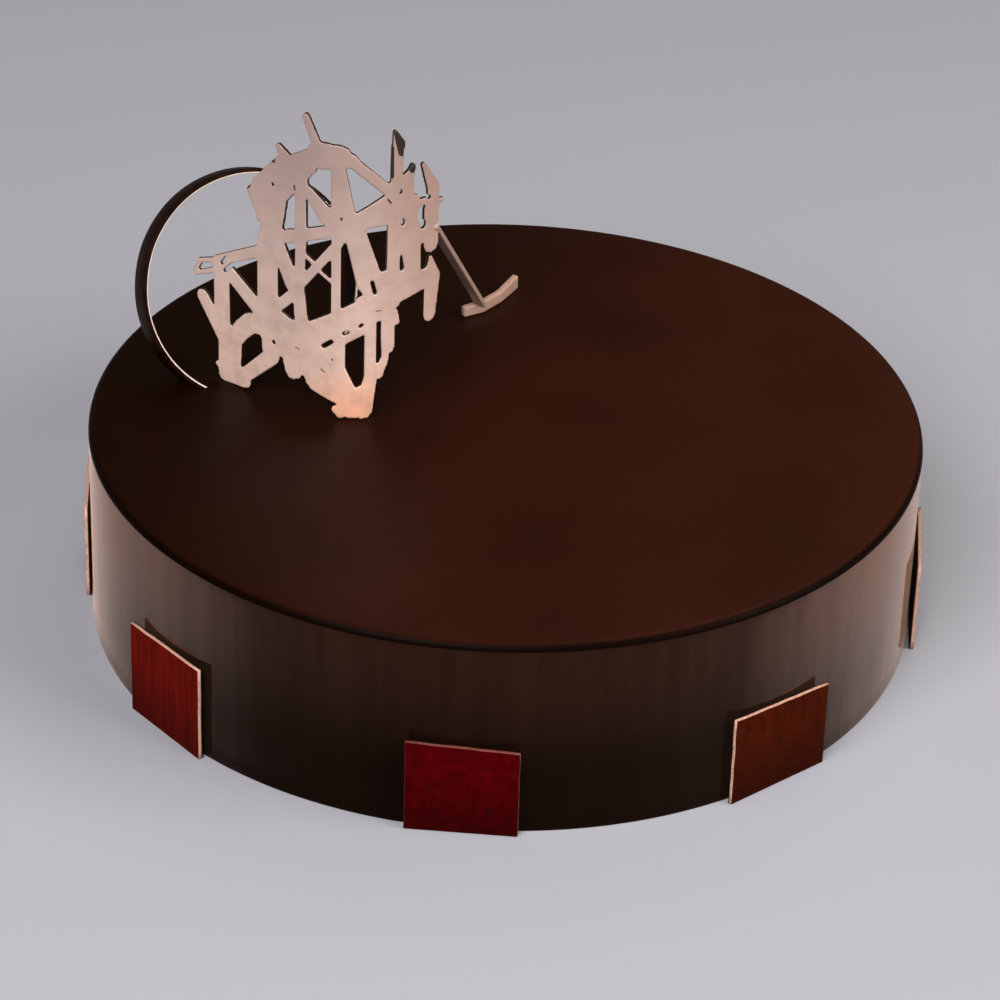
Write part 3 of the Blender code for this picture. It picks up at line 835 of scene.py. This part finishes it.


# the dust's colour where it covers the strokes, with painted light mixed in: a warm glow at the tip, lighter
# low and darker high
def dustWithPaintedLight(tree, place):
    split = addNode(tree, "ShaderNodeSeparateXYZ", {0: place})
    across, height = split.outputs["X"], split.outputs["Z"]
    tip = tuple(v * mm for v in lattice["tip"])
    fromTip = addNode(tree, "ShaderNodeVectorMath", {0: place, 1: tip}, operation="DISTANCE").outputs["Value"]
    # painted light: a warm glow around the tip, and the dust lighter low and darker high
    beyondTipGlow = addNode(tree, "ShaderNodeMapRange", {"Value": fromTip, **between(lattice["tipReach"], mm)})
    low = addNode(tree, "ShaderNodeMapRange", {"Value": height, **between(lattice["lowToMiddle"], mm)})
    high = addNode(tree, "ShaderNodeMapRange", {"Value": height, **between(lattice["middleToHigh"], mm)})
    patches = addNode(tree, "ShaderNodeTexNoise", {
        "Vector": place, "Scale": perMetre / lattice["mottleSize"], "Detail": 5.0, "Roughness": 0.65,
    })
    mottled = addNode(tree, "ShaderNodeMapRange", {
        "Value": patches.outputs[0], **between(lattice["mottleRange"]), "To Max": lattice["mottleShare"],
    })
    towardRight = addNode(tree, "ShaderNodeMapRange", {
        "Value": across, **between(lattice["towardRightAcross"], mm), "To Max": lattice["towardRightShare"],
    })
    colour = linear(lattice["tipColour"])
    for share, over in (
        (beyondTipGlow, lattice["dustLow"]), (low, lattice["dustMiddle"]), (high, lattice["dustHigh"]),
        (mottled, lattice["mottleColour"]), (towardRight, lattice["towardRightColour"]),
    ):
        mixed = addNode(tree, "ShaderNodeMix", {
            0: share.outputs[0], 6: colour, 7: linear(over),
        }, data_type="RGBA")
        colour = mixed.outputs[2]
    return colour


# satin strokes under a soft pale powder, with a grain just fine enough to see
def makeLatticeMaterial():
    material, tree = startMaterial("Pearl dusted dark chocolate")
    place = addNode(tree, "ShaderNodeTexCoord").outputs["Object"]
    dust = dustWithPaintedLight(tree, place)
    cover = addNode(tree, "ShaderNodeAttribute", attribute_name="dust").outputs["Fac"]
    worn = addNode(tree, "ShaderNodeTexNoise", {
        "Vector": place, "Scale": perMetre / lattice["wornSize"], "Detail": 3.0,
    })
    uneven = addNode(tree, "ShaderNodeMath", {
        0: worn.outputs[0], 1: lattice["wornShare"], 2: -lattice["wornShare"] / 2,
    }, operation="MULTIPLY_ADD")
    edged = addNode(tree, "ShaderNodeMath", {0: cover, 1: uneven.outputs[0]}, operation="ADD")
    mask = addNode(tree, "ShaderNodeMapRange", {"Value": edged.outputs[0], **between(lattice["coverRange"])})
    under = addNode(tree, "ShaderNodeMapRange", {"Value": cover, **between(lattice["underRange"])})
    bare = addNode(tree, "ShaderNodeMix", {
        0: under.outputs[0], 6: linear(lattice["bareColour"]), 7: linear(lattice["underColour"]),
    }, data_type="RGBA")
    colour = addNode(tree, "ShaderNodeMix", {
        0: mask.outputs[0], 6: bare.outputs[2], 7: dust,
    }, data_type="RGBA")
    grain = addNode(tree, "ShaderNodeTexNoise", {
        "Vector": place, "Scale": perMetre / lattice["grain"], "Detail": 2.0,
    })
    relief = addNode(tree, "ShaderNodeBump", {
        "Height": grain.outputs[0], "Distance": lattice["grainRelief"] * mm, "Strength": 0.5,
    })
    finishMaterial(tree, {
        "Base Color": colour.outputs[2], "Roughness": lattice["roughness"], "IOR": lattice["ior"],
        "Normal": relief.outputs[0],
    })
    return material


# where a plan point lies across the flat sheet, in mm, and which way the sheet's front faces there
def unbend(x, y):
    radius = lattice["bendRadius"]
    centre = (lattice["front"][0], lattice["front"][1] + radius)
    angle = np.arctan2(x - centre[0], centre[1] - y)
    low, high = -math.radians(lattice["bendLeft"]), math.radians(lattice["bendRight"])
    held = np.clip(angle, low, high)
    beyond = (x - centre[0] - radius * np.sin(held)) * np.cos(held)
    beyond = beyond + (y - centre[1] + radius * np.cos(held)) * np.sin(held)
    s = held * radius + np.where(angle != held, beyond, 0.0)
    return s, np.sin(held), -np.cos(held)


# the lattice's own solid with its edges softened
def softenedLattice():
    bm = bmesh.new()
    bm.from_mesh(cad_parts["lattice"].data)
    bmesh.ops.remove_doubles(bm, verts=bm.verts, dist=1e-6)
    draft = bpy.data.objects.new("latticeDraft", meshFrom("latticeRough", bm))
    bpy.context.scene.collection.objects.link(draft)
    remesh = draft.modifiers.new("remesh", "REMESH")
    remesh.mode = "VOXEL"
    remesh.voxel_size = lattice["voxel"] * mm
    soften = draft.modifiers.new("soften", "SMOOTH")
    soften.factor = 0.5
    soften.iterations = lattice["smoothing"]
    bpy.context.view_layer.update()
    shaped = bpy.data.meshes.new_from_object(draft.evaluated_get(bpy.context.evaluated_depsgraph_get()))
    bpy.data.objects.remove(draft)
    return shaped


def readVectors(mesh, field):
    values = np.zeros(len(mesh.vertices) * 3)
    mesh.vertices.foreach_get(field, values)
    return values.reshape(-1, 3)


# how thick the dust lies, 0 to 1, and below zero on the back
def dustCover(spots, normals):
    s, faceX, faceY = unbend(spots[:, 0], spots[:, 1])
    z = spots[:, 2] - lattice["level"]
    ahead = normals[:, 0] * faceX + normals[:, 1] * faceY
    fallen = normals @ np.array(lattice["fallenFace"])
    behind = (spots[:, 1] > lattice["strutBehind"]) & (spots[:, 0] > lattice["front"][0])
    fallenDust = np.interp(fallen, lattice["fallenDusted"], (0.0, 1.0))
    dust = np.where(behind, fallenDust, np.interp(ahead, lattice["dusted"], (0.0, 1.0)))
    for stroke in lattice["bare"]:
        away = lineDistance(s, z, stroke[:4]) / stroke[4]
        dust = np.minimum(dust, np.interp(away, lattice["bareFade"], (0.0, 1.0)))
    return dust + np.interp(np.where(behind, fallen, ahead), lattice["turnedBack"], (-1.0, 0.0))


def makeLattice(material):
    mesh = softenedLattice()
    dust = dustCover(readVectors(mesh, "co") / mm, readVectors(mesh, "normal"))
    layer = mesh.attributes.new("dust", "FLOAT", "POINT")
    layer.data.foreach_set("value", dust.astype(np.float32))
    mesh.polygons.foreach_set("use_smooth", np.ones(len(mesh.polygons), bool))
    print("lattice faces:", len(mesh.polygons))
    return addPiece("pipedLattice", mesh, [material], ["lattice"])


makeLattice(makeLatticeMaterial())
print("lattice made")


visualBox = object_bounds()
for title, box in (("cad box", cadBox), ("visual box", visualBox)):
    print(title, [round(v, 4) for corner in box for v in corner])
